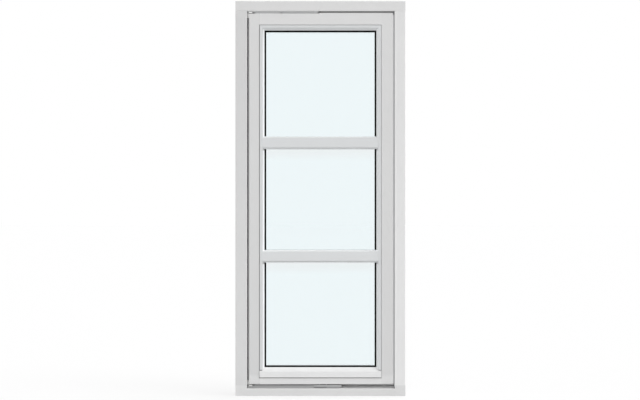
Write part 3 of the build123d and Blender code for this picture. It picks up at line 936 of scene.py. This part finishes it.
def makeScrews():
    face = screw["plateFace"] + screw["height"]
    middle = (screw["column"], face - screw["height"] / 2, screw["middle"] - screw["offset"])
    piece = newRound(screw["radius"], screw["height"], middle, (math.radians(90), 0, 0))
    selectFaces(piece, facing("y", 1))
    roundSelected(screw["round"], screw["roundSteps"])
    bpy.ops.object.mode_set(mode="OBJECT")
    cutSlot(piece, face, screw["crossWidth"], screw["crossLength"])
    cutSlot(piece, face, screw["crossLength"], screw["crossWidth"])
    settle(piece, "handleScrew.1", "sleeveSteel")
    copyTo(piece, 2 * screw["offset"], "handleScrew.2")


makeScrews()
print("handle screws made")


def makeBars(side, lowerFinish, upperFinish):  # side is outer or inner
    lowerNode, upperNode = ("%s_bar_%s" % (side, level) for level in barFeet)
    low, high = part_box(lowerNode)
    gasketLow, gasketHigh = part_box(side + "_gasket")
    sightHalf = -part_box("bead_left")[1].x
    gasketHalf = sightHalf - bars["gasketSight"][side]
    if side == "outer":
        face, root, seat, pane = low.y, low.y + bars["outerBevelDepth"], gasketLow.y, high.y
    else:
        face, root, seat, pane = high.y, gasketHigh.y, gasketHigh.y, low.y
    outwards = math.copysign(1, face - pane)
    rows = (bars["foot"], bars["foot"] + bars["height"])
    middle = sum(rows) / 2
    piece = newBlock((-sightHalf, sightHalf), sorted((face, root)), rows)
    selectFaces(piece, facing("y", outwards))
    faceHeight = bars["height"] - bars["topBevel"] - bars["footBevel"]
    faceShare = (high.x / sightHalf, 1, faceHeight / bars["height"])
    bpy.ops.transform.resize(value=faceShare, center_override=(0, face, middle))
    bpy.ops.transform.translate(value=(0, 0, (bars["footBevel"] - bars["topBevel"]) / 2))
    roundSelected(bars["arris"])
    selectFaces(piece, facing("y", -outwards))
    if seat != root:
        extrudeBy(0, seat - root, 0)
    extrudeBy(0, 0, 0)  # the step over the gasket
    bpy.ops.transform.resize(value=(gasketHalf / sightHalf, 1, 1), center_override=(0, seat, middle))
    extrudeBy(0, pane - seat, 0)
    settle(piece, side + "BarLower", lowerFinish)
    upper = copyTo(piece, bars["spacing"], side + "BarUpper")
    upper.data.materials[0] = finishes[upperFinish]
    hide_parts(lowerNode)
    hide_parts(upperNode)


makeBars("outer", "lowerBarPaint", "upperBarPaint")
makeBars("inner", "innerBarPaint", "innerBarPaint")
print("glazing bars made")

cornerPad = {  # sliding pads on the sash's left corners, on the legs of the gear's plates
    "columns": (-0.2918, -0.2886),
    "depths": (-0.0460, -0.0300),
    "rows": {"headPad": (1.5135, 1.5330), "sillPad": (0.0435, 0.0625)},
    "rim": 0.0012,
    "rib": 0.0006,
    "round": 0.0003,
}


def makeCornerPads():
    for name, rows in cornerPad["rows"].items():
        piece = newBlock(cornerPad["columns"], cornerPad["depths"], rows)
        selectFaces(piece, facing("x", -1))
        bpy.ops.mesh.inset(thickness=cornerPad["rim"])
        extrudeBy(-cornerPad["rib"], 0, 0)
        roundAll(cornerPad["round"])
        settle(piece, name, "shoeNylon")


shoeCap = {  # end caps in front of the gear's shoes
    "columns": (-0.2868, -0.2730),
    "depths": (-0.0540, -0.0464),
    "rows": {"headShoeCap": (1.5328, 1.5364), "sillShoeCap": (0.0386, 0.0426)},
    # the sill's cap wears the nylon painted darker as shade
    "finish": {"headShoeCap": "capNylon", "sillShoeCap": "sillShadedNylon"},
    "rim": 0.0008,
    "raised": 0.0005,
    "round": 0.0002,
}


def makeShoeCaps():
    for name, rows in shoeCap["rows"].items():
        piece = newBlock(shoeCap["columns"], shoeCap["depths"], rows)
        selectFaces(piece, facing("y", -1))
        bpy.ops.mesh.inset(thickness=shoeCap["rim"])
        extrudeBy(0, -shoeCap["raised"], 0)
        roundAll(shoeCap["round"])
        settle(piece, name, shoeCap["finish"][name])


anchorCover = {  # a strip in front of the sill's anchor, folded round its end
    "columns": (-0.0260, 0.0842),
    "depths": (-0.0502, -0.0481),
    "rows": (0.0352, 0.0436),
    "legStart": 0.0250,  # from here to its end the strip reaches down, close to the sill
    "legLength": 0.0046,
    "foldStart": 0.0783,
    "foldLength": 0.0215,
    "round": 0.0003,
    "legShadeTone": 0.58,
    "paleFrom": 0.0360,  # painted shade: the tone falls from this height down to the leg's foot, near the sill
    "undercutShadeTone": 0.58,  # painted shade on the anchor's foot, under the strip
}


def splitAt(column):  # an edge round the piece in edit mode, at a place along X
    bpy.ops.mesh.select_all(action="SELECT")
    bpy.ops.mesh.bisect(plane_co=(column, 0, 0), plane_no=(1, 0, 0))


def toneByHeight(finish, low, high, lowTone):
    tree = finish.node_tree
    addTone(finish, addMap(tree, addApart(tree, addHere(tree))["Z"], low, high, lowTone, 1.0))


def makeAnchorCover():
    foot = anchorCover["rows"][0]
    downwards, backwards = facing("z", -1), facing("y", 1)
    piece = newBlock(anchorCover["columns"], anchorCover["depths"], anchorCover["rows"])
    bpy.ops.object.mode_set(mode="EDIT")
    splitAt(anchorCover["legStart"])
    splitAt(anchorCover["foldStart"])
    selectFaces(piece, lambda found: downwards(found) and found.center.x > anchorCover["legStart"])
    extrudeBy(0, 0, -anchorCover["legLength"])
    selectFaces(piece, lambda found: (
        backwards(found) and found.center.x > anchorCover["foldStart"] and found.center.z > foot
    ))
    extrudeBy(0, anchorCover["foldLength"], 0)
    bpy.ops.object.mode_set(mode="OBJECT")
    rounding = piece.modifiers.new("rounding", "BEVEL")
    rounding.width = anchorCover["round"]
    rounding.segments = roundSteps
    rounding.limit_method = "ANGLE"
    bpy.ops.object.modifier_apply(modifier=rounding.name)
    legFoot = foot - anchorCover["legLength"]
    # painted shade on the strip's leg near the sill, and on the anchor's foot under the strip
    toneByHeight(finishes["coverZinc"], legFoot, anchorCover["paleFrom"], anchorCover["legShadeTone"])
    toneByHeight(finishes["sillAnchorShadedZinc"], foot - anchorCover["round"], foot, anchorCover["undercutShadeTone"])
    settle(piece, "anchorCover", "coverZinc")


headSeal = {  # a lip seal under the head, where the gear leaves the gap free
    "columns": (-0.0050, 0.2945),
    "depths": (-0.0460, -0.0380),
    "rows": (1.5384, 1.5400),
    "rim": 0.0026,
    "lip": 0.0046,
    "taper": 0.6,
    "round": 0.0002,
}


def makeHeadSeal():
    piece = newBlock(headSeal["columns"], headSeal["depths"], headSeal["rows"])
    selectFaces(piece, facing("z", -1))
    bpy.ops.mesh.inset(thickness=headSeal["rim"])
    extrudeBy(0, 0, -headSeal["lip"])
    bpy.ops.transform.resize(
        value=(1, headSeal["taper"], 1),
        center_override=(sum(headSeal["columns"]) / 2, sum(headSeal["depths"]) / 2, headSeal["rows"][0]),
    )
    roundAll(headSeal["round"])
    settle(piece, "headSeal", "sealRubber")


makeCornerPads()
makeShoeCaps()
makeAnchorCover()
makeHeadSeal()
print("gear pads, anchor cover and head seal made")
